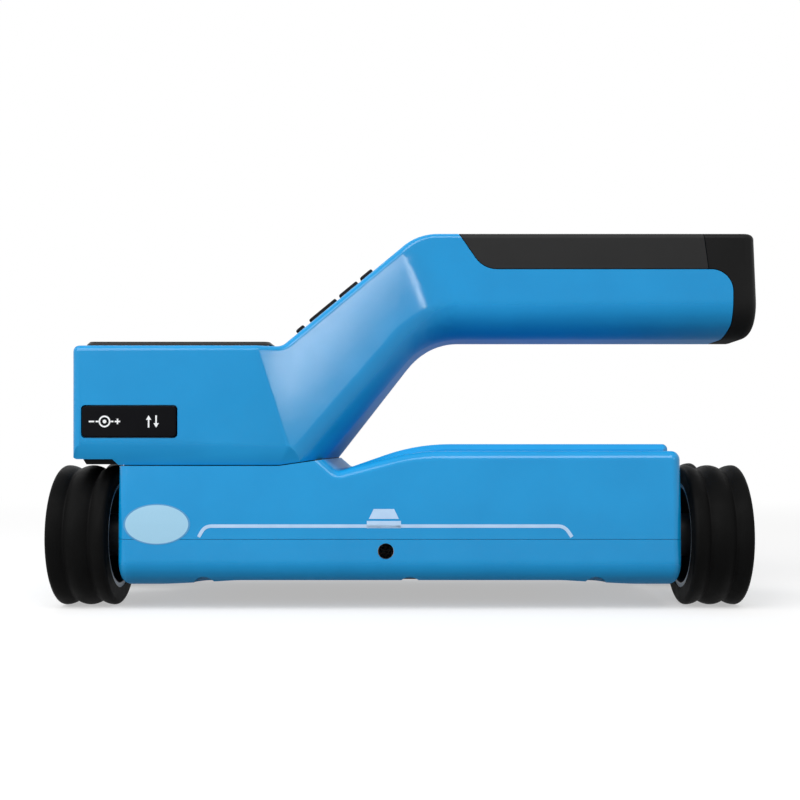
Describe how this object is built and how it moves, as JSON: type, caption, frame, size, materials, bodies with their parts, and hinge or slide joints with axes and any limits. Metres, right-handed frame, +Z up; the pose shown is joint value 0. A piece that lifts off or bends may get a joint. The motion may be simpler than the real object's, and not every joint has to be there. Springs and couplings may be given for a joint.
{
  "type": "concrete wall scanner",
  "caption": "Hand-held wall scanner: a wheeled base with a detector coil, a display box with a key slope, and a raised handle with a battery bay.",
  "frame": {"origin": "on the floor under the tyres, in the middle of the object's outline seen from above", "axes": "+X from the display end to the handle end, Y along the rolling direction with the ports at -Y, +Z up"},
  "size_m": [0.2182, 0.097, 0.1166],
  "materials": {
    "blue_housing": "satin moulded plastic",
    "soft_grip": "matt soft-touch rubber",
    "black_plastic": "fine grained black plastic",
    "cover_rubber": "matt rubber",
    "key_rubber": "matt rubber",
    "tyre_rubber": "ribbed black rubber",
    "hub_plastic": "pale satin plastic",
    "frame_plastic": "gloss black plastic",
    "window_glass": "clear glass",
    "laser_glass": "dark red glass",
    "screen": "dark liquid crystal screen",
    "circuit_board": "green lacquered board",
    "dark_component": "moulded black component",
    "steel": "plain steel",
    "brass": "plain brass",
    "bush_plastic": "low-friction plastic",
    "seal_rubber": "matt rubber",
    "copper_winding": "enamelled copper wire",
    "cell_wrap": "plain wrapped cells"
  },
  "bodies": {
    "chassis": {"upper_housing": "blue_housing", "front_panel": "blue_housing", "base_shell": "blue_housing", "base_tray": "blue_housing", "handle_grip": "soft_grip", "wheel_guard": "black_plastic", "sensor_plate": "black_plastic", "display_bezel": "frame_plastic", "display_window": "window_glass", "laser_windows": "laser_glass", "screen_module": "screen", "main_board": "circuit_board", "key_board": "circuit_board", "port_board": "circuit_board", "sensor_board": "circuit_board", "sounder": "dark_component", "charge_socket": "dark_component", "travel_reader": "dark_component", "coil_former": "dark_component", "board_screws": "steel", "neck_screws": "steel", "tray_screws": "steel", "key_domes": "steel", "data_socket": "steel", "battery_contacts": "brass", "laser_modules": "brass", "axle_bushes": "bush_plastic", "neck_seal": "seal_rubber", "coil_winding": "copper_winding", "battery_cells": "cell_wrap"},
    "wheel_front_left": {"tyre_front_left": "tyre_rubber", "hub_front_left": "hub_plastic", "shaft_front_left": "steel", "hub_screw_front_left": "steel", "travel_disc": "steel"},
    "wheel_front_right": {"tyre_front_right": "tyre_rubber", "hub_front_right": "hub_plastic", "shaft_front_right": "steel", "hub_screw_front_right": "steel"},
    "wheel_rear_left": {"tyre_rear_left": "tyre_rubber", "hub_rear_left": "hub_plastic", "shaft_rear_left": "steel", "hub_screw_rear_left": "steel"},
    "wheel_rear_right": {"tyre_rear_right": "tyre_rubber", "hub_rear_right": "hub_plastic", "shaft_rear_right": "steel", "hub_screw_rear_right": "steel"},
    "key_menu_button": {"key_menu": "key_rubber"},
    "key_back_button": {"key_back": "key_rubber"},
    "key_left_button": {"key_left": "key_rubber"},
    "key_ok_button": {"key_ok": "key_rubber"},
    "key_right_button": {"key_right": "key_rubber"},
    "key_store_button": {"key_store": "key_rubber"},
    "key_light_button": {"key_light": "key_rubber"},
    "key_power_button": {"key_power": "key_rubber"},
    "port_flap": {"port_cover": "cover_rubber"},
    "battery_lid": {"battery_cap": "black_plastic", "cap_contacts": "brass"}
  },
  "joints": [
    {"name": "wheel_front_left_spin", "type": "hinge", "parent": "chassis", "child": "wheel_front_left", "pos_m": [-0.10025, -0.027, 0.0215], "axis": [1, 0, 0], "continuous": true},
    {"name": "wheel_front_right_spin", "type": "hinge", "parent": "chassis", "child": "wheel_front_right", "pos_m": [0.09015, -0.027, 0.0215], "axis": [1, 0, 0], "continuous": true},
    {"name": "wheel_rear_left_spin", "type": "hinge", "parent": "chassis", "child": "wheel_rear_left", "pos_m": [-0.10025, 0.027, 0.0215], "axis": [1, 0, 0], "continuous": true},
    {"name": "wheel_rear_right_spin", "type": "hinge", "parent": "chassis", "child": "wheel_rear_right", "pos_m": [0.09015, 0.027, 0.0215], "axis": [1, 0, 0], "continuous": true},
    {"name": "key_menu_press", "type": "slide", "parent": "chassis", "child": "key_menu_button", "axis": [0.6845, 0, -0.729], "range_m": [0, 0.0008], "stiffness_N_per_m": 600},
    {"name": "key_back_press", "type": "slide", "parent": "chassis", "child": "key_back_button", "axis": [0.6845, 0, -0.729], "range_m": [0, 0.0008], "stiffness_N_per_m": 600},
    {"name": "key_left_press", "type": "slide", "parent": "chassis", "child": "key_left_button", "axis": [0.6845, 0, -0.729], "range_m": [0, 0.0008], "stiffness_N_per_m": 600},
    {"name": "key_ok_press", "type": "slide", "parent": "chassis", "child": "key_ok_button", "axis": [0.6845, 0, -0.729], "range_m": [0, 0.0008], "stiffness_N_per_m": 600},
    {"name": "key_right_press", "type": "slide", "parent": "chassis", "child": "key_right_button", "axis": [0.6845, 0, -0.729], "range_m": [0, 0.0008], "stiffness_N_per_m": 600},
    {"name": "key_store_press", "type": "slide", "parent": "chassis", "child": "key_store_button", "axis": [0.6845, 0, -0.729], "range_m": [0, 0.0008], "stiffness_N_per_m": 600},
    {"name": "key_light_press", "type": "slide", "parent": "chassis", "child": "key_light_button", "axis": [0.6845, 0, -0.729], "range_m": [0, 0.0008], "stiffness_N_per_m": 600},
    {"name": "key_power_press", "type": "slide", "parent": "chassis", "child": "key_power_button", "axis": [0.6845, 0, -0.729], "range_m": [0, 0.0008], "stiffness_N_per_m": 600},
    {"name": "port_flap_hinge", "type": "hinge", "parent": "chassis", "child": "port_flap", "pos_m": [-0.0982, -0.0474, 0.05605], "axis": [0, 0, -1], "range_deg": [0, 110]},
    {"name": "battery_lid_slide", "type": "slide", "parent": "chassis", "child": "battery_lid", "axis": [1, 0, 0], "range_m": [0, 0.03]}
  ]
}
